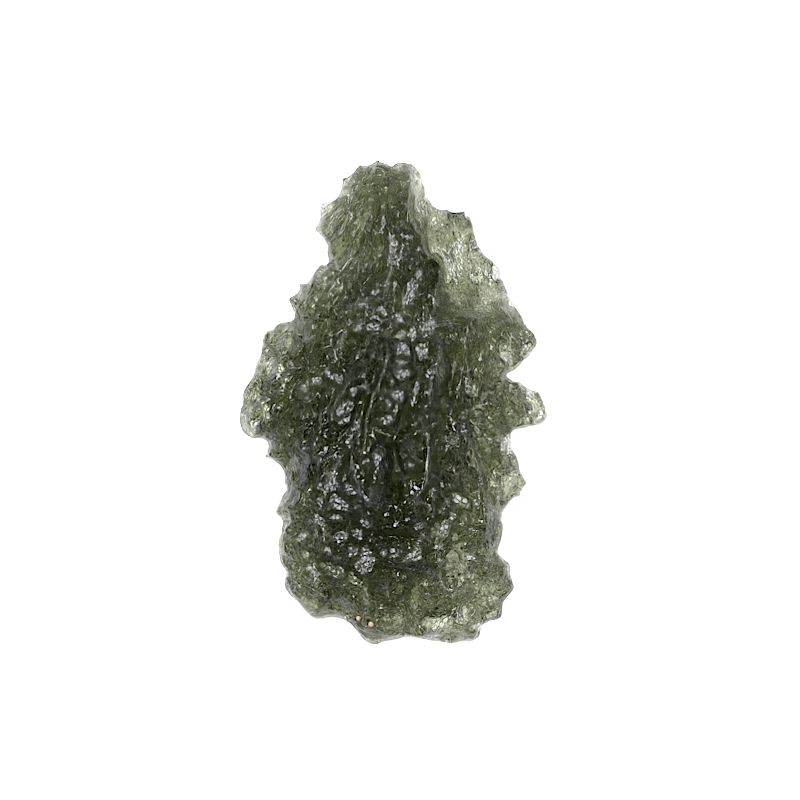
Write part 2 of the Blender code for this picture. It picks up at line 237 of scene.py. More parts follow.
def move_points(mesh, points):
    """Puts a mesh's points in new places, none of them below the table."""
    points[:, 2] = np.maximum(points[:, 2], 0)
    mesh.vertices.foreach_set("co", points.astype(np.float32).ravel())
    mesh.update()


def scrambled(cells, seed):
    """A fixed whole number from 0 to 2**32 for each lattice cell, the same on every run."""
    mixed = cells.astype(np.uint64) * np.array((73856093, 19349663, 83492791), np.uint64)
    mixed = mixed[:, 0] ^ mixed[:, 1] ^ mixed[:, 2] ^ np.uint64(seed * 2654435761 % 2**32)
    for shift, factor in ((15, 2246822519), (13, 3266489917)):
        mixed = (mixed ^ (mixed >> np.uint64(shift))) & np.uint64(0xFFFFFFFF)
        mixed = (mixed * np.uint64(factor)) & np.uint64(0xFFFFFFFF)
    return mixed ^ (mixed >> np.uint64(16))


def unit_triples(cells, seed):
    """Three fixed values from 0 to 1 for each lattice cell."""
    mixed = scrambled(cells, seed)
    parts = [(mixed >> np.uint64(shift)) & np.uint64(1023) for shift in (0, 10, 20)]
    return np.stack(parts, 1) / 1023


SWELL_GAIN = 1.6


def swell(points, seed):
    """Smooth gradient noise, about -1 to 1, one swell to a unit."""
    cells = np.floor(points).astype(np.int64)
    within = points - cells
    fade = within**3 * (within * (within * 6 - 15) + 10)
    total = np.zeros(len(points))
    for step in itertools.product((0, 1), repeat=3):
        slope = 2 * unit_triples(cells + step, seed) - 1
        weight = np.where(step, fade, 1 - fade).prod(1)
        total += weight * ((within - step) * slope).sum(1)
    return SWELL_GAIN * total


def drifted(places, size, reach, seed):
    """The places shifted by slow noise, so that a pattern on them wanders like flow."""
    return places + reach * np.stack([swell(places / size, seed + i) for i in range(3)], 1)


def crests(points, seed):
    """Sharp crests between round troughs, 0 in a trough and 1 on a crest."""
    return 1 - np.abs(swell(points, seed))


def cups(points, seed):
    """Round cups that meet in sharp rims, 0 at a cup's bottom and about 1 on the rims."""
    cells = np.floor(points).astype(np.int64)
    nearest = np.full(len(points), np.inf)
    for step in itertools.product((-1, 0, 1), repeat=3):
        centres = cells + step + unit_triples(cells + step, seed)
        nearest = np.minimum(nearest, ((centres - points) ** 2).sum(1))
    return nearest


def pits(points, seed):
    """The distance to the nearest pit's middle, and a depth from 0 to 1 fixed for that pit."""
    cells = np.floor(points).astype(np.int64)
    nearest = np.full(len(points), np.inf)
    depth = np.zeros(len(points))
    for step in itertools.product((-1, 0, 1), repeat=3):
        centres = cells + step + unit_triples(cells + step, seed)
        distance = np.sqrt(((centres - points) ** 2).sum(1))
        closer = distance < nearest
        nearest[closer] = distance[closer]
        depth[closer] = unit_triples(cells + step, seed + 1)[closer, 0]
    return nearest, depth


def smooth_step(values, start, end):
    """0 before the start and 1 past the end, with an eased slope between them."""
    share = np.clip((values - start) / (end - start), 0, 1)
    return share * share * (3 - 2 * share)


FLOW_SOURCE = place(420, 90)
FLOW_RADIUS = 20 * MM


def flow_places(points):
    """Each point's place across, along and through the flow, which fans out from above the crown."""
    off = points[:, :2] - FLOW_SOURCE
    reach = np.hypot(off[:, 0], off[:, 1])
    turn = np.arctan2(off[:, 0], -off[:, 1])
    return np.stack((turn * FLOW_RADIUS, reach, points[:, 2]), 1)


def line_reach(plan, route_px):
    """Each plan point's distance to a traced route, and its share of the way along it."""
    corners = [place(*corner) for corner in route_px]
    best = np.full(len(plan), np.inf)
    way = np.zeros(len(plan))
    runs = len(corners) - 1
    for index, (start, end) in enumerate(zip(corners, corners[1:])):
        along = end - start
        share = np.clip((plan - start) @ along / (along @ along), 0, 1)
        off = plan - start - share[:, None] * along
        distance = np.hypot(off[:, 0], off[:, 1])
        nearer = distance < best
        best[nearer] = distance[nearer]
        way[nearer] = (index + share[nearer]) / runs
    return best, way


def oval_reach(plan, x_px, y_px, wide_px, tall_px, turn=0):
    """0 at the middle of a traced oval, 1 on its edge and more outside. Its turn is clockwise."""
    off = (plan - place(x_px, y_px)) / PIXEL
    angle = math.radians(turn)
    across = off[:, 0] * math.cos(angle) - off[:, 1] * math.sin(angle)
    along = off[:, 0] * math.sin(angle) + off[:, 1] * math.cos(angle)
    return np.hypot(across / wide_px, along / tall_px)


# Traced relief of the front, in pixels of the photograph's frame, with heights in mm.
# Ridges: route, half width, height, and how pale and frosted the crest is, from 0 to 1.
RIDGES = (
    (
        ((445, 346), (440, 356), (436, 366), (433, 378), (430, 392), (427, 404), (423, 417)),
        2.4,
        0.34,
        0.9,
    ),
    (((422, 425), (427, 436), (428, 452), (427, 474), (421, 490), (414, 502)), 3.0, 0.34, 0.55),
    (((345, 326), (344, 345), (336, 358), (329, 373), (313, 384)), 1.8, 0.26, 0.6),
    (((341, 330), (337, 345), (331, 362)), 1.5, 0.2, 0.5),
    (((379, 345), (373, 360), (367, 370), (367, 382), (366, 396)), 2.6, 0.3, 0.45),
    (((345, 320), (348, 312), (358, 311), (369, 309)), 1.6, 0.22, 0.35),
    (((352, 442), (353, 460), (356, 480), (361, 496)), 2.2, 0.3, 0.5),
    (((365, 452), (361, 470), (363, 492), (370, 504), (380, 505)), 2.2, 0.25, 0.3),
    (((384, 452), (390, 468), (391, 485), (387, 500), (380, 505)), 2.2, 0.25, 0.3),
    (((388, 193), (391, 203), (394, 214), (397, 226)), 3.0, 0.32, 0.8),
    (((390, 246), (389, 262), (388, 280), (388, 298)), 4.0, 0.2, 0.55),
    (((376, 187), (367, 205), (361, 225), (352, 250), (344, 275), (334, 302)), 1.8, 0.2, 0.1),
    (((379, 190), (372, 212), (366, 235), (358, 262), (350, 288), (340, 312)), 1.8, 0.22, 0.1),
    (((365, 190), (358, 208), (352, 228), (350, 240)), 1.8, 0.2, 0.15),
    (((388, 228), (382, 250), (372, 275), (362, 300)), 2.0, 0.25, 0.1),
    (((402, 228), (393, 250), (386, 262)), 2.0, 0.25, 0.2),
    (((438, 263), (441, 272), (438, 283), (434, 292), (438, 301)), 1.8, 0.25, 0.5),
    (((431, 290), (436, 298), (441, 300)), 1.6, 0.2, 0.4),
    (((463, 430), (471, 446), (478, 466), (482, 490), (485, 515), (487, 548)), 2.6, 0.35, 0.35),
    (((470, 428), (481, 447), (489, 470)), 2.0, 0.25, 0.2),
    (((480, 398), (489, 397), (498, 394)), 1.8, 0.3, 0.55),
    (((462, 413), (471, 412), (481, 410)), 2.2, 0.3, 0.6),
    (((463, 340), (470, 337), (476, 333)), 1.8, 0.25, 0.55),
    (((470, 336), (480, 338), (490, 336), (497, 328), (505, 323), (514, 322)), 2.0, 0.3, 0.5),
    (((279, 335), (281, 350), (281, 366), (277, 384)), 2.2, 0.3, 0.05),
    (((326, 342), (318, 354), (309, 366), (303, 382), (295, 396), (287, 410)), 2.2, 0.3, 0.0),
    (((314, 352), (317, 364), (313, 378), (306, 392)), 1.8, 0.25, 0.1),
    (((306, 420), (298, 430), (290, 443)), 2.0, 0.3, 0.05),
    (((312, 418), (305, 428), (296, 442)), 2.0, 0.3, 0.05),
    (((287, 428), (285, 440), (283, 448)), 1.6, 0.25, 0.4),
    (((320, 422), (325, 424), (331, 421)), 1.6, 0.2, 0.5),
    (((324, 400), (329, 394), (332, 386)), 1.6, 0.2, 0.4),
    (((318, 576), (328, 573), (340, 577), (350, 582)), 2.0, 0.3, 0.15),
    (((316, 590), (328, 581), (342, 582), (356, 590)), 2.0, 0.3, 0.15),
    (((286, 576), (297, 592), (312, 606)), 2.0, 0.3, 0.2),
    (((292, 574), (303, 588), (318, 600)), 2.0, 0.3, 0.2),
    (((298, 573), (309, 584), (321, 593)), 2.0, 0.3, 0.15),
    (((289, 584), (299, 600), (310, 612)), 2.0, 0.3, 0.2),
    (((324, 498), (321, 510), (318, 522), (316, 530)), 2.2, 0.3, 0.4),
    (((291, 490), (298, 488), (304, 494), (299, 506)), 1.8, 0.3, 0.45),
    (((284, 500), (290, 512), (294, 526), (290, 540)), 2.2, 0.3, 0.3),
    (((413, 502), (420, 500), (427, 505), (431, 516)), 2.0, 0.3, 0.4),
    (((330, 545), (322, 541), (318, 546)), 1.6, 0.2, 0.3),
    (((376, 608), (390, 604), (402, 612), (396, 622)), 1.6, 0.25, 0.35),
    (((378, 628), (392, 634), (410, 634), (424, 636)), 2.0, 0.3, 0.3),
    (((440, 585), (452, 590), (464, 588), (476, 580)), 2.0, 0.3, 0.4),
    (((462, 560), (470, 566), (472, 576), (464, 584)), 2.0, 0.3, 0.5),
    (((478, 556), (486, 562), (494, 558)), 2.0, 0.3, 0.4),
)
# Gutters: route, half width and depth.
GUTTERS = (
    (((418, 345), (416, 370), (411, 398), (408, 425)), 7.0, 0.3),
    (((335, 335), (325, 350), (316, 366)), 4.0, 0.35),
    (((300, 380), (292, 402), (281, 428)), 4.0, 0.4),
    (((356, 345), (350, 365), (345, 382)), 6.0, 0.4),
    (((394, 448), (397, 475), (396, 500)), 4.5, 0.45),
    (((370, 537), (395, 534), (420, 538)), 4.5, 0.45),
    (((345, 568), (365, 573), (390, 568), (425, 574)), 3.5, 0.4),
    (((425, 262), (432, 272), (426, 284)), 6.0, 0.5),
    (((458, 350), (452, 372), (448, 396)), 4.0, 0.3),
    (((497, 392), (505, 402), (501, 416)), 3.5, 0.4),
    (((474, 442), (482, 462), (489, 488), (497, 503)), 3.0, 0.4),
    (((440, 545), (455, 544), (468, 541)), 3.0, 0.4),
    (((425, 637), (440, 638), (452, 634)), 2.5, 0.3),
    (((284, 442), (292, 460), (300, 480)), 3.5, 0.3),
    (((378, 322), (380, 335), (372, 345)), 5.0, 0.35),
)
# Knobs, and pockets where the height is below 0: middle, half width and height in pixels,
# clockwise turn in degrees, and height in mm.
KNOBS = (
    (317, 397, 14, 12, 0, 0.35),
    (377, 480, 12, 26, 0, 0.3),
    (411, 474, 12, 26, 0, 0.25),
    (380, 580, 12, 10, 0, 0.35),
    (487, 384, 12, 7, 0, 0.35),
    (488, 404, 8, 5, 0, 0.3),
    (465, 402, 10, 6, 0, 0.3),
    (382, 168, 12, 6, -10, 0.3),
    (415, 170, 7, 6, 0, 0.25),
    (448, 228, 4, 4, 0, 0.3),
    (462, 224, 5, 5, 0, 0.3),
    (471, 222, 4, 6, 0, 0.3),
    (336, 268, 6, 5, 0, 0.3),
    (323, 267, 6, 4, 0, 0.3),
    (432, 271, 9, 9, 0, -0.35),
    (346, 250, 8, 14, 15, -0.25),
    (418, 578, 12, 7, 0, -0.35),
    (330, 590, 10, 7, 0, -0.3),
)
# Smooth places, where the flow left the skin plain: middle, half width and height, turn.
SMOOTH = (
    (417, 375, 11, 38, 8),
    (432, 271, 11, 11, 0),
    (492, 312, 28, 20, 30),
    (346, 250, 9, 16, 15),
    (377, 482, 10, 22, 0),
    (380, 580, 13, 11, 0),
    (452, 255, 30, 55, -15),
    (488, 285, 22, 34, -35),
    (330, 588, 14, 10, 0),
    (440, 600, 12, 10, 0),
    (295, 400, 8, 40, 25),
)
# Facets that face the lamp, so that they shine: middle, half width and height, turn.
SHEENS = (
    (365, 558, 11, 13, 0), (317, 566, 10, 5, 0), (307, 553, 7, 4, -30), (328, 550, 5, 6, 0),
    (339, 570, 6, 6, 0), (301, 534, 8, 6, 0), (329, 484, 8, 6, 0), (321, 502, 5, 6, 0),
    (309, 514, 4, 3, 0), (333, 524, 8, 6, 0), (352, 490, 6, 7, 0), (350, 508, 7, 6, 30),
    (369, 511, 5, 4, 0), (366, 522, 5, 7, 20), (361, 532, 5, 5, 0), (396, 550, 9, 5, 10),
    (407, 557, 7, 5, 0), (418, 552, 5, 6, 0), (418, 525, 5, 6, 0), (421, 534, 5, 3, 0),
    (395, 477, 4, 3, 0), (411, 463, 4, 5, 0), (399, 472, 5, 3, 0), (408, 334, 12, 6, -20),
    (426, 332, 10, 6, -20), (403, 351, 6, 9, 15), (400, 363, 5, 5, 0), (403, 375, 8, 5, 0),
    (398, 395, 6, 6, 0), (395, 410, 4, 7, 15), (388, 420, 5, 5, 40), (361, 327, 10, 6, -15),
    (372, 307, 4, 8, 0), (382, 312, 4, 6, 0), (378, 322, 7, 4, 0), (404, 306, 6, 8, 30),
    (400, 320, 6, 6, 20), (412, 287, 6, 10, 35), (418, 279, 5, 6, 20), (418, 250, 4, 5, 0),
    (403, 254, 4, 8, 10), (393, 246, 4, 8, 20), (408, 237, 6, 3, 0), (336, 378, 8, 5, 20),
    (347, 406, 5, 9, 15), (345, 420, 6, 5, 0), (358, 421, 4, 5, 0), (353, 391, 4, 6, 20),
    (363, 386, 3, 4, 0), (370, 462, 3, 5, 10), (377, 459, 3, 6, 0), (439, 392, 4, 3, 0),
    (445, 403, 6, 4, 20), (455, 409, 6, 4, 30), (464, 413, 4, 4, 0), (424, 419, 4, 3, 0),
    (433, 426, 4, 3, 0), (462, 430, 3, 6, 0), (438, 314, 3, 5, 0), (447, 311, 3, 5, 0),
    (442, 331, 6, 3, 0), (300, 365, 3, 3, 0), (291, 367, 4, 5, 0), (307, 448, 6, 3, 20),
    (305, 395, 4, 6, 0), (431, 489, 4, 3, 0), (441, 507, 4, 6, 0), (444, 534, 6, 8, 0),
    (458, 499, 13, 4, 35), (446, 522, 4, 8, 10), (458, 534, 6, 4, -20), (450, 553, 5, 3, 0),
    (468, 556, 7, 4, 20), (432, 450, 3, 3, 0), (440, 470, 4, 3, 0), (384, 216, 2, 10, 8),
    (373, 212, 2, 7, 8), (367, 268, 2, 6, 10), (375, 292, 7, 3, 0), (333, 265, 4, 3, 0),
    (340, 500, 7, 6, 0), (338, 515, 7, 5, 0), (322, 518, 6, 6, 0), (358, 500, 5, 5, 0),
    (345, 532, 7, 4, 0), (293, 530, 6, 4, 0), (312, 540, 5, 4, 0), (290, 546, 5, 4, 0),
    (352, 548, 5, 7, 0), (383, 550, 4, 5, 0), (325, 562, 7, 5, 0), (306, 396, 5, 4, 0),
    (318, 380, 6, 3, 0), (340, 412, 5, 5, 0), (312, 500, 5, 3, 0), (303, 486, 4, 3, 0),
    (440, 545, 5, 4, 0), (462, 520, 5, 7, 30), (432, 530, 4, 4, 0), (450, 515, 5, 5, 0),
    (468, 476, 4, 3, 0), (364, 306, 5, 4, 0), (415, 262, 4, 4, 0), (392, 262, 3, 8, 10),
    (409, 300, 5, 7, 30), (371, 328, 7, 5, 0), (350, 322, 5, 4, -20), (416, 334, 8, 5, -20),
)
# Thin windows, which the light comes up through: the same, then the thickness of glass in mm.
WINDOWS = (
    (325, 290, 3, 10, 0, 1.4), (308, 317, 3, 8, 30, 1.2), (303, 330, 2.5, 5, 20, 1.5),
    (478, 454, 6, 8, -40, 1.3), (502, 481, 14, 12, 0, 1.4), (511, 392, 4, 8, -10, 1.3),
    (455, 470, 4, 11, 10, 2.0), (254, 420, 4, 8, -15, 0.5), (266, 402, 6, 20, -10, 1.3),
    (508, 350, 5, 10, -20, 0.7), (525, 348, 8, 6, 0, 1.0), (495, 357, 4, 2.5, 0, 0.7),
    (507, 444, 10, 15, 10, 0.3), (484, 372, 3.5, 3, 0, 1.0), (525, 395, 4, 8, 0, 0.8),
    (534, 406, 3, 6, 20, 0.8), (542, 413, 4, 6, 0, 1.0), (512, 420, 4.5, 5, 0, 1.0),
    (439, 603, 4, 4, 0, 0.9), (463, 614, 9, 13, 30, 0.8), (476, 625, 8, 6, -20, 0.5),
    (448, 638, 8, 2, -10, 0.4), (350, 612, 8, 5, 20, 1.4), (363, 609, 6, 5, 0, 1.4),
    (390, 617, 12, 7, 0, 2.0), (371, 632, 5, 4, 0, 0.8), (500, 532, 4, 13, 0, 0.7),
    (484, 545, 2, 6, 0, 1.4), (470, 213, 9, 4, 0, 0.5), (473, 237, 4, 4, 0, 0.3),
    (477, 246, 6, 4, 0, 0.5), (496, 273, 6, 14, 0, 0.4), (476, 278, 6, 6, 0, 0.9),
    (508, 300, 5, 12, -30, 0.3), (522, 318, 4, 4, 0, 0.3), (402, 168, 6, 4, 0, 0.5),
    (422, 190, 5, 14, -10, 0.8), (348, 190, 4, 13, 15, 1.3), (365, 172, 2, 5, -20, 0.8),
    (269, 356, 4, 14, 15, 1.0), (275, 338, 3, 6, 0, 1.2), (262, 437, 7, 3, 0, 0.6),
    (274, 456, 5, 4, 0, 1.0), (281, 507, 4, 8, 0, 1.0), (281, 545, 3, 12, 0, 1.2),
    (325, 214, 7, 13, 20, 0.9), (318, 228, 4, 4, 0, 0.5), (335, 228, 3.5, 8, 10, 1.2),
    (388, 280, 4, 20, 0, 3.5), (346, 250, 7, 13, 15, 3.0), (382, 180, 4, 6, 0, 1.6),
    (464, 575, 8, 10, 0, 1.5), (455, 588, 8, 6, 0, 1.6), (490, 578, 6, 5, 0, 1.6),
    (421, 433, 4, 6, 0, 3.2), (469, 338, 5, 3, -20, 2.2), (497, 365, 5, 4, 0, 1.5),
    (459, 380, 4, 3, 0, 3.0), (476, 411, 5, 3, 0, 2.0), (486, 412, 5, 4, 0, 1.6),
    (434, 206, 10, 22, -12, 1.6), (417, 192, 6, 26, -12, 1.0), (456, 302, 10, 16, -40, 2.0),
    (488, 298, 14, 12, -40, 1.5), (482, 316, 12, 8, 0, 2.0), (507, 342, 7, 9, -20, 1.3),
    (258, 424, 3, 16, 15, 0.4), (505, 314, 4, 12, -40, 0.3), (474, 456, 8, 16, -20, 1.6),
    (446, 430, 7, 9, 0, 2.6), (462, 418, 8, 6, 0, 2.0), (474, 400, 9, 7, 0, 2.0),
    (480, 436, 8, 9, -30, 2.2), (482, 588, 9, 9, 0, 1.7), (530, 402, 6, 9, 0, 0.9),
)
# Places with a coarse, deeply pitted skin, which get a mottled painted shade: the same as smooth
# places.
RUGGED = (
    (382, 169, 14, 8, 0), (415, 172, 9, 8, 30), (392, 180, 6, 8, 0), (462, 224, 14, 8, 20),
    (446, 228, 3, 5, 0), (488, 384, 12, 8, 0), (528, 340, 12, 8, 30), (505, 338, 8, 6, 0),
    (335, 545, 8, 6, 0), (301, 534, 9, 8, 0), (500, 575, 10, 14, 0), (428, 420, 20, 30, 0),
    (475, 415, 14, 10, 0), (320, 268, 12, 8, -20), (360, 625, 14, 8, 30), (405, 625, 14, 8, 0),
    (260, 345, 6, 16, 20), (356, 200, 8, 20, 20), (418, 245, 6, 6, 0), (470, 570, 26, 20, 0),
)
# Places where shade is painted into the glass's tint, because steep walls under them bend the
# light away: the same, then how dark the painted shade is, from 0 to 1.
SHADOWS = (
    (432, 271, 11, 8, 0, 0.9), (400, 233, 17, 4, 15, 0.7), (386, 171, 14, 8, 0, 0.55),
    (412, 168, 8, 5, 20, 0.5), (403, 205, 7, 14, -20, 0.5), (357, 285, 12, 24, 15, 0.5),
    (335, 312, 20, 14, 0, 0.5), (411, 266, 11, 8, 0, 0.6), (445, 302, 7, 8, 0, 0.6),
    (463, 226, 14, 5, 15, 0.75), (447, 213, 6, 3, 20, 0.6), (488, 282, 3, 10, -20, 0.5),
    (500, 288, 3, 12, -15, 0.6), (462, 325, 16, 7, 0, 0.6), (468, 360, 14, 8, 0, 0.5),
    (521, 348, 8, 10, 30, 0.45), (532, 335, 5, 12, -30, 0.5), (486, 399, 15, 4, 0, 0.7),
    (500, 406, 6, 11, 0, 0.5), (462, 398, 13, 4, 0, 0.6), (538, 388, 6, 3, 20, 0.7),
    (455, 428, 12, 8, 0, 0.6), (464, 446, 3, 14, -20, 0.7), (475, 475, 3, 16, -20, 0.7),
    (486, 510, 3, 22, -8, 0.7), (513, 487, 7, 3, -40, 0.7), (505, 500, 3, 10, 30, 0.6),
    (440, 478, 12, 10, 0, 0.5), (420, 566, 24, 6, 0, 0.8), (466, 546, 13, 4, 0, 0.5),
    (498, 562, 9, 9, 0, 0.55), (507, 580, 6, 8, 0, 0.5), (490, 608, 9, 5, 0, 0.45),
    (425, 614, 18, 7, 0, 0.35), (430, 629, 12, 4, 0, 0.5), (292, 342, 12, 10, 0, 0.6),
    (328, 350, 14, 14, 0, 0.6), (320, 428, 22, 13, 0, 0.85), (314, 464, 20, 14, 0, 0.85),
    (350, 440, 13, 11, 0, 0.6), (360, 370, 12, 18, 10, 0.7), (385, 438, 12, 12, 0, 0.6),
    (399, 452, 8, 18, 0, 0.7), (308, 578, 14, 5, 30, 0.6), (331, 586, 16, 7, 0, 0.6),
    (298, 592, 5, 16, 45, 0.5), (376, 586, 12, 7, 0, 0.4), (385, 537, 14, 7, 0, 0.8),
    (296, 460, 10, 8, 0, 0.6), (288, 500, 5, 10, 0, 0.5), (410, 520, 8, 5, 0, 0.5),
    (340, 232, 5, 10, 10, 0.5), (326, 232, 3, 8, 0, 0.5), (372, 235, 5, 16, 12, 0.5),
    (290, 310, 8, 5, -30, 0.5), (262, 380, 3, 12, 20, 0.4), (355, 632, 10, 3, 30, 0.4),
    (300, 272, 16, 14, -30, 0.45), (262, 350, 10, 16, 25, 0.35), (296, 362, 14, 18, 20, 0.35),
    (298, 446, 16, 22, -10, 0.6), (338, 446, 18, 20, 0, 0.45), (294, 494, 10, 26, 0, 0.6),
    (340, 484, 16, 10, 0, 0.35), (294, 535, 10, 18, 0, 0.35), (292, 572, 12, 14, 0, 0.35),
    (516, 486, 6, 12, 0, 0.3),
)
# Places where the flow lines stand out as long, fine striae: the same as smooth places.
STRIATED = (
    (365, 240, 40, 75, 15), (300, 395, 30, 60, 20), (455, 250, 36, 60, 0), (308, 595, 26, 22, 0),
    (465, 620, 22, 16, 0),
)

# A window's oval without its thickness of glass.
PANES = [window[:5] for window in WINDOWS]

# A facet that shines lies half-way between the lens and the key lamp.
KEY_HALF_WAY = Vector((0, 0, 1)) + key_direction
FACET_SLOPE = np.array((-KEY_HALF_WAY.x, -KEY_HALF_WAY.y)) / KEY_HALF_WAY.z

# The etched pattern all over the skin. Each size is across, along and through the flow. The level
# is the pattern's own middle, so that it leaves the stone as thick as it was.
BIG_CUP, BIG_CUP_DEPTH, BIG_CUP_SEED = np.array((1.9, 3.2, 1.9)) * MM, 0.6 * MM, 11
CUP, CUP_DEPTH, CUP_SEED = np.array((0.9, 1.6, 0.9)) * MM, 0.62 * MM, 12
SMALL_CUP, SMALL_CUP_DEPTH, SMALL_CUP_SEED = np.array((0.40, 0.70, 0.42)) * MM, 0.17 * MM, 13
CUP_LEVEL = 0.4
FLOW_RIDGE, FLOW_RIDGE_HEIGHT, FLOW_RIDGE_SEED = np.array((0.85, 8.0, 2.2)) * MM, 0.42 * MM, 15
FLOW_RIDGE_LEVEL = 0.5
STRIA, STRIA_HEIGHT, STRIA_SEED = np.array((0.34, 3.6, 0.6)) * MM, 0.13 * MM, 14
STRIA_LEVEL = 0.6
# Deep pits of the back, which light the glass from below: size in mm, seed, deepest share of the
# glass. A pit's wall stands between these shares of its size from its middle.
PITS = (((1.5, 2.2, 1.5), 31, 0.75), ((0.8, 1.2, 0.8), 33, 0.6))
PIT_WALL = (0.42, 0.58)
# How each pattern wanders, as a flow does: the size, the reach and the seed of its drift.
CUP_DRIFT = (1.8 * MM, 0.35 * MM, 1)
SMALL_DRIFT = (0.7 * MM, 0.15 * MM, 4)
PIT_DRIFT = (1.1 * MM, 0.3 * MM, 21)
RIDGE_DRIFT = (2.4 * MM, 0.4 * MM, 41)
EDGE_DRIFT = (0.8 * MM, 0.3 * MM, 61)
# The edges of ovals and walls, each as the reach or tilt where it starts and where it ends.
FACET_BED = (1.1, 1.5)
FACET_EDGE = (0.95, 1.4)
PANE_EDGE = (0.8, 1.1)
WINDOW_EDGE = (0.75, 1.2)
ROUGH_WALL = (0.5, 0.9)
FINE_WALL = (0.6, 0.95)
FRONT_TILT = (0.0, 0.35)
BACK_TILT = (0.1, 0.4)
BACK_RISE = (0.05 * MM, 0.4 * MM)
LEAST_BACK = 0.01
# How much calmer the relief is in smooth places, on facets, in windows, in striae and on walls,
# and how much stronger on rugged knobs.
SMOOTH_CALM = 0.85
FINE_SMOOTH_CALM = 0.75
FACET_CALM = 0.92
PANE_CALM = 0.5
STRIATED_CALM = 0.7
WALL_CALM = 0.7
RUGGED_GAIN = 0.8
PLAIN_STRIA, STRIATED_GAIN = 0.5, 1.5
# A facet is laid wholly flat in the rough skin. In the fine skin it keeps a little of its relief,
# because the thinning would leave a flat facet almost without points.
FINE_FACET_SHARE = 0.8
# A ridge's foot is wider than its crest, and its flanks are slightly hollow. It rises from both of
# its ends: how steeply, and from which share of its height. Its frost does so too.
RIDGE_FOOT, RIDGE_CURVE = 1.6, 1.3
RIDGE_TAPER = (4, 0.25)
FROST_TAPER = (5, 0.1)
# How much of a blended value comes from the neighbours in each round.
NEIGHBOUR_SHARE = 0.6
# The relief fades out within this height of the table, so that the stone still lies flat.
FLAT_GUARD = 0.35 * MM
# The thinnest glass that a window's depth is worked out from, and how close two points of the
# solid are when they are one.
LEAST_GLASS = 0.1 * MM
WELD = 0.001 * MM
# A level high above the stone, from which the way down finds its front.
ABOVE_ALL = 1
DOWN = Vector((0, 0, -1))

shape = bmesh.new()
shape.from_mesh(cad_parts["moldavite"].data)
bmesh.ops.remove_doubles(shape, verts=shape.verts, dist=WELD)
rough_mesh = bpy.data.meshes.new("rough_stone")
shape.to_mesh(rough_mesh)
shape.free()


def faces_up(normals):
    """1 on the front of the stone, down to 0 on its walls and its back."""
    return smooth_step(normals[:, 2], *FRONT_TILT)


def spots(plan, ovals, inner=0.65, outer=1.35):
    """How far each plan point lies inside any of the traced ovals, from 0 to 1."""
    cover = np.zeros(len(plan))
    for oval in ovals:
        cover = np.maximum(cover, 1 - smooth_step(oval_reach(plan, *oval), inner, outer))
    return cover


def softened(mesh, values, rounds):
    """The values of a mesh's points, each blended with its neighbours' for a number of rounds."""
    pairs = np.empty(len(mesh.edges) * 2, np.int32)
    mesh.edges.foreach_get("vertices", pairs)
    first, second = pairs.reshape(-1, 2).T
    neighbours = np.maximum(np.bincount(pairs, minlength=len(values)), 1)
    for _ in range(rounds):
        total = np.bincount(first, values[second], len(values))
        total += np.bincount(second, values[first], len(values))
        values = (1 - NEIGHBOUR_SHARE) * values + NEIGHBOUR_SHARE * total / neighbours
    return values


def wavering(points):
    """Each point's plan place, shifted by slow noise so that traced ovals get natural edges."""
    return drifted(points, *EDGE_DRIFT)[:, :2]


def flow_crests(points):
    """0 to 1 on the long crests that follow the flow of the glass from crown to foot."""
    return crests(drifted(flow_places(points), *RIDGE_DRIFT) / FLOW_RIDGE, FLOW_RIDGE_SEED)


def tapered(way, steepness, least):
    """How far a ridge has risen on each share of its way, from its least at both ends up to 1."""
    return np.minimum(1, steepness * np.minimum(way, 1 - way) + least)


def lay_facets(points, front, share):
    """Lays the skin inside each sheen towards a plane that faces half-way to the lamp."""
    plan = points[:, :2]
    wavy = wavering(points)
    for oval in SHEENS:
        cover = (1 - smooth_step(oval_reach(wavy, *oval), *FACET_BED)) * front
        if cover.sum() > 0:
            level = (points[:, 2] * cover).sum() / cover.sum()
            middle = (plan * cover[:, None]).sum(0) / cover.sum()
            facet = level + (plan - middle) @ FACET_SLOPE
            points[:, 2] += share * cover * (facet - points[:, 2])


def raise_relief(points, normals, height, wall):
    """Moves the points by a height along their normals, less on walls and not on the flat spot."""
    above_flat = smooth_step(points[:, 2], 0, FLAT_GUARD)
    sideways = 1 - WALL_CALM * smooth_step(np.hypot(normals[:, 0], normals[:, 1]), *wall)
    points += (height * above_flat * sideways)[:, None] * normals


def skin_under(tree, x, y):
    """The place on the front of the stone that is straight below a point high above it, or None."""
    return tree.ray_cast(Vector((x, y, ABOVE_ALL)), DOWN)[0]


rough = remeshed(rough_mesh, ROUGH_VOXEL)
points, normals = points_and_normals(rough)
front = faces_up(normals)
plain = spots(wavering(points), SMOOTH) * front
flow = drifted(flow_places(points), *CUP_DRIFT)
height = BIG_CUP_DEPTH * (cups(flow / BIG_CUP, BIG_CUP_SEED) - CUP_LEVEL)
height += CUP_DEPTH * (cups(flow / CUP, CUP_SEED) - CUP_LEVEL)
height += FLOW_RIDGE_HEIGHT * (flow_crests(points) ** 2 - FLOW_RIDGE_LEVEL)
height *= 1 - SMOOTH_CALM * plain
raise_relief(points, normals, height, ROUGH_WALL)

plan = points[:, :2]
lift = np.zeros(len(points))
for route_px, half_width_px, rise, _ in RIDGES:
    distance, way = line_reach(plan, route_px)
    flank = np.maximum(0, 1 - distance / (RIDGE_FOOT * half_width_px * PIXEL)) ** RIDGE_CURVE
    lift += rise * MM * tapered(way, *RIDGE_TAPER) * flank
for route_px, half_width_px, depth in GUTTERS:
    distance, way = line_reach(plan, route_px)
    lift -= depth * MM * np.exp(-((distance / (half_width_px * PIXEL)) ** 2))
for x_px, y_px, wide_px, tall_px, turn, rise in KNOBS:
    reach = oval_reach(plan, x_px, y_px, wide_px, tall_px, turn)
    lift += rise * MM * np.sqrt(np.maximum(0, 1 - reach**2))
points[:, 2] += lift * front

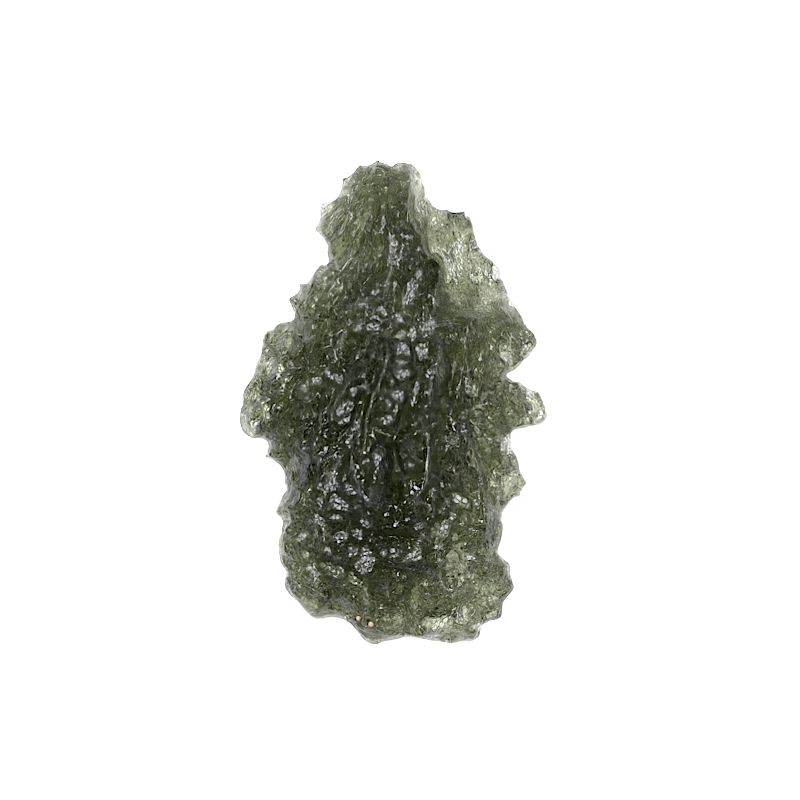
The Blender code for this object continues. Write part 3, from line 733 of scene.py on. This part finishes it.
lay_facets(points, front, 1.0)
move_points(rough, points)

front_tree = BVHTree.FromPolygons(
    [tuple(p) for p in points], [tuple(f.vertices) for f in rough.polygons]
)
points, normals = points_and_normals(rough)
back = smooth_step(-normals[:, 2], *BACK_TILT) * smooth_step(points[:, 2], *BACK_RISE)
glass_left = np.zeros(len(points))
for index in np.nonzero(back > LEAST_BACK)[0]:
    skin = skin_under(front_tree, points[index, 0], points[index, 1])
    if skin is not None:
        glass_left[index] = skin.z - points[index, 2]
flow = drifted(flow_places(points), *PIT_DRIFT)
share = np.zeros(len(points))
for size, seed, deepest in PITS:
    floor, depth = pits(flow / (np.array(size) * MM), seed)
    share = np.maximum(share, deepest * depth * (1 - smooth_step(floor, *PIT_WALL)))
wavy = wavering(points)
share *= 1 - SMOOTH_CALM * spots(wavy, SMOOTH)
for x_px, y_px, wide_px, tall_px, turn, left_mm in WINDOWS:
    reach = oval_reach(wavy, x_px, y_px, wide_px, tall_px, turn)
    cover = 1 - smooth_step(reach, *WINDOW_EDGE)
    wanted = 1 - left_mm * MM / np.maximum(glass_left, LEAST_GLASS)
    share += cover * (np.maximum(wanted, 0) - share)
points[:, 2] += share * back * glass_left
move_points(rough, points)

fine = remeshed(rough, FINE_VOXEL)
points, normals = points_and_normals(fine)
front = faces_up(normals)
wavy = wavering(points)
plain = spots(wavy, SMOOTH) * front
facets = spots(wavy, SHEENS, *FACET_EDGE) * front
rugged = spots(wavy, RUGGED) * front
striated = spots(wavy, STRIATED) * front
panes = spots(wavy, PANES, *PANE_EDGE)
flow = drifted(flow_places(points), *SMALL_DRIFT)
height = SMALL_CUP_DEPTH * (cups(flow / SMALL_CUP, SMALL_CUP_SEED) - CUP_LEVEL)
height *= 1 + RUGGED_GAIN * rugged - STRIATED_CALM * striated
striae = crests(flow / STRIA, STRIA_SEED) - STRIA_LEVEL
height += STRIA_HEIGHT * (PLAIN_STRIA + STRIATED_GAIN * striated) * striae
height *= (1 - FINE_SMOOTH_CALM * plain) * (1 - FACET_CALM * facets) * (1 - PANE_CALM * panes)
raise_relief(points, normals, height, FINE_WALL)
lay_facets(points, front, FINE_FACET_SHARE)
move_points(fine, points)
fine = thinned(fine, MOST_TRIANGLES)

# Gas bubbles sealed in the glass: middle and radius in pixels, and depth under the skin in mm. The
# wall of each is a ball turned inside out, with gas on its inner side.
BUBBLES = ((477, 420, 3.5, 0.6), (429, 408, 1.8, 0.4), (475, 560, 2.2, 0.45), (512, 418, 1.5, 0.35))
skin_points = len(fine.vertices)
shape = bmesh.new()
shape.from_mesh(fine)
front_tree = BVHTree.FromBMesh(shape)
for x_px, y_px, radius_px, depth_mm in BUBBLES:
    middle = skin_under(front_tree, *place(x_px, y_px)) + depth_mm * MM * DOWN
    bubble = bmesh.ops.create_icosphere(
        shape, subdivisions=3, radius=radius_px * PIXEL, matrix=Matrix.Translation(middle)
    )
    wall = list({face for vertex in bubble["verts"] for face in vertex.link_faces})
    bmesh.ops.reverse_faces(shape, faces=wall)
    for face in wall:
        face.smooth = True
shape.to_mesh(fine)
shape.free()

points, normals = points_and_normals(fine)
on_skin = np.arange(len(points)) < skin_points
wavy = wavering(points)
up = faces_up(normals)

# Frost: the traced ridges are pale along their crests, and so are the highest of the long flow
# crests, in some patches only.
CREST_EDGE = (0.0, 0.6)
LONG_CREST_FROST, LONG_CREST_EDGE = 0.6, (0.86, 0.99)
FROST_PATCH, FROST_PATCH_SEED, FROST_PATCH_EDGE = 2.5 * MM, 44, (0.1, 0.5)
UNFROSTED_EDGE = (1.0, 1.4)
frosted = np.zeros(len(points))
for route_px, half_width_px, _, frost in RIDGES:
    distance, way = line_reach(wavy, route_px)
    crest = 1 - smooth_step(distance / (half_width_px * PIXEL), *CREST_EDGE)
    frosted = np.maximum(frosted, frost * tapered(way, *FROST_TAPER) * crest)
long_crests = LONG_CREST_FROST * smooth_step(flow_crests(points), *LONG_CREST_EDGE)
patches = smooth_step(swell(points / FROST_PATCH, FROST_PATCH_SEED), *FROST_PATCH_EDGE)
frosted = np.maximum(frosted, long_crests * patches)
frosted *= up * (1 - spots(wavy, SHEENS, *UNFROSTED_EDGE))

# Etching: fine cups cover the skin, less so in smooth places, on facets, in striae and in windows.
# The facets are satin, and so is the skin around them.
SMOOTH_UNETCHED, STRIATED_UNETCHED, PANE_UNETCHED = 0.7, 0.8, 0.8
SATIN_EDGE = (1.2, 3.0)
etched = 1 - FACET_CALM * spots(wavy, SHEENS, *FACET_EDGE) * up
etched *= 1 - SMOOTH_UNETCHED * spots(wavy, SMOOTH) * up
etched *= 1 - STRIATED_UNETCHED * spots(wavy, STRIATED) * up
etched *= 1 - PANE_UNETCHED * spots(wavy, PANES, *PANE_EDGE)
satin = spots(wavy, SHEENS, *SATIN_EDGE) * up

# Painted shade: the glass's tint is painted darker on steep walls, in gutters, on rugged knobs and in
# the traced dark places, standing in for the shade where they bend the light of the table away. Thin
# panes let that light through, and so do the very steepest walls, along the outline, so less shade is
# painted there.
STEEP_SHADE, STEEP_EDGE, STEEP_ROUNDS = 0.85, (0.10, 0.32), 3
OUTLINE_CLEAR, OUTLINE_EDGE = 0.65, (0.4, 0.7)
PANE_CLEAR, PANE_CLEAR_EDGE = 0.85, (0.9, 1.3)
SHADE_PATCH, SHADE_PATCH_SEED, SHADE_PATCH_GAIN = 3 * MM, 52, 2
SHADE_PATCH_MIDDLE, SHADE_PATCH_SPREAD = 0.7, 0.3
GUTTER_SHADE, GUTTER_FLOOR = 0.5, 0.7
RUGGED_SHADE, MOTTLE, MOTTLE_SEED, MOTTLE_EDGE = 0.7, 0.35 * MM, 51, (-0.1, 0.35)
SHADOW_SPECK, SHADOW_SPECK_SEED, SHADOW_SPECK_GAIN = 0.45 * MM, 53, 2.5
SHADOW_SPECK_MIDDLE, SHADOW_SPECK_SPREAD = 0.65, 0.35
SHADOW_EDGE = (0.7, 1.3)
patchy = np.clip(SHADE_PATCH_GAIN * swell(points / SHADE_PATCH, SHADE_PATCH_SEED), -1, 1)
patchy = SHADE_PATCH_MIDDLE + SHADE_PATCH_SPREAD * patchy
tilt = softened(fine, 1 - np.abs(normals[:, 2]), STEEP_ROUNDS)
dark = STEEP_SHADE * patchy * smooth_step(tilt, *STEEP_EDGE)
dark *= 1 - OUTLINE_CLEAR * smooth_step(tilt, *OUTLINE_EDGE)
dark *= 1 - PANE_CLEAR * spots(wavy, PANES, *PANE_CLEAR_EDGE)
for route_px, half_width_px, _ in GUTTERS:
    distance, _ = line_reach(wavy, route_px)
    sunk = np.exp(-((distance / (GUTTER_FLOOR * half_width_px * PIXEL)) ** 2))
    dark = np.maximum(dark, GUTTER_SHADE * up * sunk)
# A mottled painted shade on the rugged knobs.
mottled_shade = spots(wavy, RUGGED) * up * smooth_step(swell(points / MOTTLE, MOTTLE_SEED), *MOTTLE_EDGE)
dark = np.maximum(dark, RUGGED_SHADE * mottled_shade)
specks = np.clip(SHADOW_SPECK_GAIN * swell(points / SHADOW_SPECK, SHADOW_SPECK_SEED), -1, 1)
specks = SHADOW_SPECK_MIDDLE + SHADOW_SPECK_SPREAD * specks
for *oval, darkness in SHADOWS:
    cover = 1 - smooth_step(oval_reach(wavy, *oval), *SHADOW_EDGE)
    dark = np.maximum(dark, 1 - (1 - darkness * cover * specks * up) ** 2)

stone = bpy.data.objects.new("moldavite_stone", fine)
bpy.context.scene.collection.objects.link(stone)
flow_place = fine.attributes.new("flow_place", "FLOAT_VECTOR", "POINT")
places = flow_places(points) / MM * on_skin[:, None]
flow_place.data.foreach_set("vector", places.astype(np.float32).ravel())
# These values carry the frost, the etching, the satin and the painted shade.
skin_values = {"frosted_crest": frosted, "etched": etched, "satin": satin, "painted_shade": dark}
for name, values in skin_values.items():
    attribute = fine.attributes.new(name, "FLOAT", "POINT")
    attribute.data.foreach_set("value", (values * on_skin).astype(np.float32))

# Natural glass with an etched skin: clear and green in depth, satin on its facets, and crossed by
# fine wrinkles that break every highlight into small grey flecks. Painted shade darkens the tint
# towards olive on steep walls, in gutters, on rugged knobs and in dark places, and frosted crests are
# a broken yellow-green.
GLASS_IOR = 1.49
GLASS_DEPTH_COLOUR = "#c5caa5"
ABSORPTION_PER_METRE = 960.0
CLEAR_TINT = "#ffffff"
# The olive of the painted shade on steep walls, in gutters and in the traced dark places.
PAINTED_SHADE_TINT = "#4c5428"
FROST_TINT = "#b4bc50"
FROSTED_CLEARNESS = 0.4
GLOSSY_ROUGHNESS = 0.07
SATIN_ROUGHNESS = 0.19
# How many of each lie on a millimetre across the flow. Along the flow they are longer.
ALONG_FLOW_STRETCH = 0.6
WANDERS_PER_MM, WANDER_REACH_MM = 1.6, 0.35
ETCH_CUPS_PER_MM, ETCH_CUP_DEPTH_MM = 3.2, 0.06
PEBBLES_PER_MM, PEBBLE_HEIGHT_MM, PEBBLE_SHOULDER = 4.8, 0.028, 0.12
# The etching's own grain is about 0.03 mm. It is drawn at 0.09 mm, so that it shows.
GRAINS_PER_MM, GRAIN_HEIGHT_MM = 11.0, 0.004
FROST_SPECKS_PER_MM, FROST_SPECK_FROM, FROST_SPECK_TO = 8.0, 0.42, 0.6
DULL_PATCHES_PER_MM, DULL_PATCH_ROUGHNESS = 0.7, 0.05
glass, tree = new_material("etched_moldavite_glass")
along_flow = add_node(tree, "ShaderNodeAttribute", {"attribute_name": "flow_place"}).outputs["Vector"]
wander = add_node(
    tree, "ShaderNodeTexNoise", {"Scale": WANDERS_PER_MM, "Detail": 1.0}, {"Vector": along_flow}
)
bent = add_node(
    tree,
    "ShaderNodeVectorMath",
    {"operation": "MULTIPLY_ADD", 1: (WANDER_REACH_MM,) * 3},
    {0: wander.outputs["Color"], 2: along_flow},
).outputs["Vector"]
stretched = add_node(
    tree, "ShaderNodeMapping", {"Scale": (1.0, ALONG_FLOW_STRETCH, 1.0)}, {"Vector": bent}
).outputs["Vector"]
gaps = add_node(
    tree,
    "ShaderNodeTexVoronoi",
    {"feature": "DISTANCE_TO_EDGE", "Scale": PEBBLES_PER_MM},
    {"Vector": stretched},
).outputs["Distance"]
pebbles = add_node(
    tree,
    "ShaderNodeMapRange",
    {"From Max": PEBBLE_SHOULDER, "To Max": PEBBLE_HEIGHT_MM, "interpolation_type": "SMOOTHSTEP"},
    {"Value": gaps},
).outputs["Result"]
etch_grain = add_node(
    tree, "ShaderNodeTexNoise", {"Scale": GRAINS_PER_MM, "Detail": 1.0}, {"Vector": stretched}
).outputs["Fac"]
pebbles_and_grain = add_node(
    tree,
    "ShaderNodeMath",
    {"operation": "MULTIPLY_ADD", 1: GRAIN_HEIGHT_MM},
    {0: etch_grain, 2: pebbles},
).outputs["Value"]
cup_reach = add_node(
    tree, "ShaderNodeTexVoronoi", {"feature": "F1", "Scale": ETCH_CUPS_PER_MM}, {"Vector": stretched}
).outputs["Distance"]
etch_cups = add_node(
    tree, "ShaderNodeMath", {"operation": "POWER", 1: 2.0}, {0: cup_reach}
).outputs["Value"]
etched_place = add_node(tree, "ShaderNodeAttribute", {"attribute_name": "etched"}).outputs["Fac"]
cup_share = add_node(
    tree, "ShaderNodeMath", {"operation": "MULTIPLY"}, {0: etch_cups, 1: etched_place}
).outputs["Value"]
relief = add_node(
    tree,
    "ShaderNodeMath",
    {"operation": "MULTIPLY_ADD", 1: ETCH_CUP_DEPTH_MM},
    {0: cup_share, 2: pebbles_and_grain},
).outputs["Value"]
skin_relief = add_node(
    tree, "ShaderNodeBump", {"Strength": 1.0, "Distance": MM}, {"Height": relief}
).outputs["Normal"]
speckles = add_node(
    tree,
    "ShaderNodeTexNoise",
    {"Scale": FROST_SPECKS_PER_MM, "Detail": 2.0, "Roughness": 0.7},
    {"Vector": bent},
).outputs["Fac"]
frost_specks = add_node(
    tree,
    "ShaderNodeMapRange",
    {"From Min": FROST_SPECK_FROM, "From Max": FROST_SPECK_TO},
    {"Value": speckles},
).outputs["Result"]
frosted_crest = add_node(
    tree, "ShaderNodeAttribute", {"attribute_name": "frosted_crest"}
).outputs["Fac"]
frost = add_node(
    tree, "ShaderNodeMath", {"operation": "MULTIPLY"}, {0: frost_specks, 1: frosted_crest}
).outputs["Value"]
clearness = add_node(
    tree, "ShaderNodeMapRange", {"To Min": 1.0, "To Max": FROSTED_CLEARNESS}, {"Value": frost}
).outputs["Result"]
# The painted shade darkens the tint from clear towards olive.
painted_shade = add_node(tree, "ShaderNodeAttribute", {"attribute_name": "painted_shade"}).outputs["Fac"]
painted_shade_mix = add_node(
    tree,
    "ShaderNodeMix",
    {"data_type": "RGBA", 6: linear(CLEAR_TINT), 7: linear(PAINTED_SHADE_TINT)},
    {0: painted_shade},
).outputs[2]
tint = add_node(
    tree,
    "ShaderNodeMix",
    {"data_type": "RGBA", 7: linear(FROST_TINT)},
    {0: frost, 6: painted_shade_mix},
).outputs[2]
satin_place = add_node(tree, "ShaderNodeAttribute", {"attribute_name": "satin"}).outputs["Fac"]
softness = add_node(
    tree,
    "ShaderNodeMapRange",
    {"To Min": GLOSSY_ROUGHNESS, "To Max": SATIN_ROUGHNESS},
    {"Value": satin_place},
).outputs["Result"]
dull_patches = add_node(
    tree, "ShaderNodeTexNoise", {"Scale": DULL_PATCHES_PER_MM, "Detail": 1.0}, {"Vector": along_flow}
).outputs["Fac"]
roughness = add_node(
    tree,
    "ShaderNodeMath",
    {"operation": "MULTIPLY_ADD", 1: DULL_PATCH_ROUGHNESS},
    {0: dull_patches, 2: softness},
).outputs["Value"]
glass_skin = add_node(
    tree,
    "ShaderNodeBsdfPrincipled",
    {"IOR": GLASS_IOR},
    {
        "Base Color": tint,
        "Transmission Weight": clearness,
        "Roughness": roughness,
        "Normal": skin_relief,
    },
)
glass_body = add_node(
    tree,
    "ShaderNodeVolumeAbsorption",
    {"Color": linear(GLASS_DEPTH_COLOUR), "Density": ABSORPTION_PER_METRE},
)
add_node(
    tree,
    "ShaderNodeOutputMaterial",
    links={"Surface": glass_skin.outputs["BSDF"], "Volume": glass_body.outputs["Volume"]},
)
fine.materials.clear()
fine.materials.append(glass)
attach(stone, "root")
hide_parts("moldavite")

# The sand grains
# A few rounded grains of quartz sand from the gravel that the stone lay in. They are wedged in the
# pits of its skin and stained peach by iron.

# Middle and radius of each grain in pixels, how high its middle lies over the skin as a share of
# its radius, and the size and height of the lumps on it.
SAND_GRAINS = ((358.7, 616.2, 2.2), (371.2, 622.0, 2.5), (386.0, 190.0, 1.2))
GRAIN_RISE_SHARE = 0.35
GRAIN_LUMP, GRAIN_LUMP_HEIGHT, GRAIN_SEED = 3 * PIXEL, 0.36 * PIXEL, 71
shape = bmesh.new()
for x_px, y_px, radius_px in SAND_GRAINS:
    radius = radius_px * PIXEL
    middle = skin_under(front_tree, *place(x_px, y_px)) - GRAIN_RISE_SHARE * radius * DOWN
    bmesh.ops.create_icosphere(shape, subdivisions=4, radius=radius, matrix=Matrix.Translation(middle))
sand = bpy.data.meshes.new("sand_grains")
shape.to_mesh(sand)
shape.free()
points, normals = points_and_normals(sand)
points += GRAIN_LUMP_HEIGHT * swell(points / GRAIN_LUMP, GRAIN_SEED)[:, None] * normals
move_points(sand, points)
sand.shade_smooth()
sand_grains = bpy.data.objects.new("sand_grains", sand)
bpy.context.scene.collection.objects.link(sand_grains)

# Iron-stained quartz sand: milky peach with a matt, frosted skin from tumbling in a river. The
# frost's pits are about 0.01 mm, and are drawn at 0.03 mm, so that they show.
QUARTZ_IOR = 1.54
MILKY_QUARTZ = "#dcc6ae"
IRON_STAIN = "#b98a68"
STAINS_PER_MM = 9.0
FROST_PITS_PER_MM = 30.0
FROST_PIT_MM = 0.006
FROSTED_ROUGHNESS, STAINED_ROUGHNESS = 0.45, 0.75
quartz, tree = new_material("iron_stained_quartz_sand")
spread = add_node(tree, "ShaderNodeTexCoord").outputs["Object"]
in_mm = add_node(
    tree, "ShaderNodeVectorMath", {"operation": "SCALE", "Scale": 1 / MM}, {0: spread}
).outputs["Vector"]
stains = add_node(
    tree, "ShaderNodeTexNoise", {"Scale": STAINS_PER_MM, "Detail": 3.0}, {"Vector": in_mm}
).outputs["Fac"]
peach = add_node(
    tree,
    "ShaderNodeMix",
    {"data_type": "RGBA", 6: linear(MILKY_QUARTZ), 7: linear(IRON_STAIN)},
    {0: stains},
).outputs[2]
frost_pits = add_node(
    tree, "ShaderNodeTexNoise", {"Scale": FROST_PITS_PER_MM, "Detail": 2.0}, {"Vector": in_mm}
).outputs["Fac"]
pitted = add_node(
    tree, "ShaderNodeBump", {"Strength": 1.0, "Distance": FROST_PIT_MM * MM}, {"Height": frost_pits}
).outputs["Normal"]
matt = add_node(
    tree,
    "ShaderNodeMapRange",
    {"To Min": FROSTED_ROUGHNESS, "To Max": STAINED_ROUGHNESS},
    {"Value": stains},
).outputs["Result"]
quartz_skin = add_node(
    tree,
    "ShaderNodeBsdfPrincipled",
    {"IOR": QUARTZ_IOR},
    {"Base Color": peach, "Roughness": matt, "Normal": pitted},
)
add_node(tree, "ShaderNodeOutputMaterial", links={"Surface": quartz_skin.outputs["BSDF"]})
sand.materials.append(quartz)
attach(sand_grains, "root")
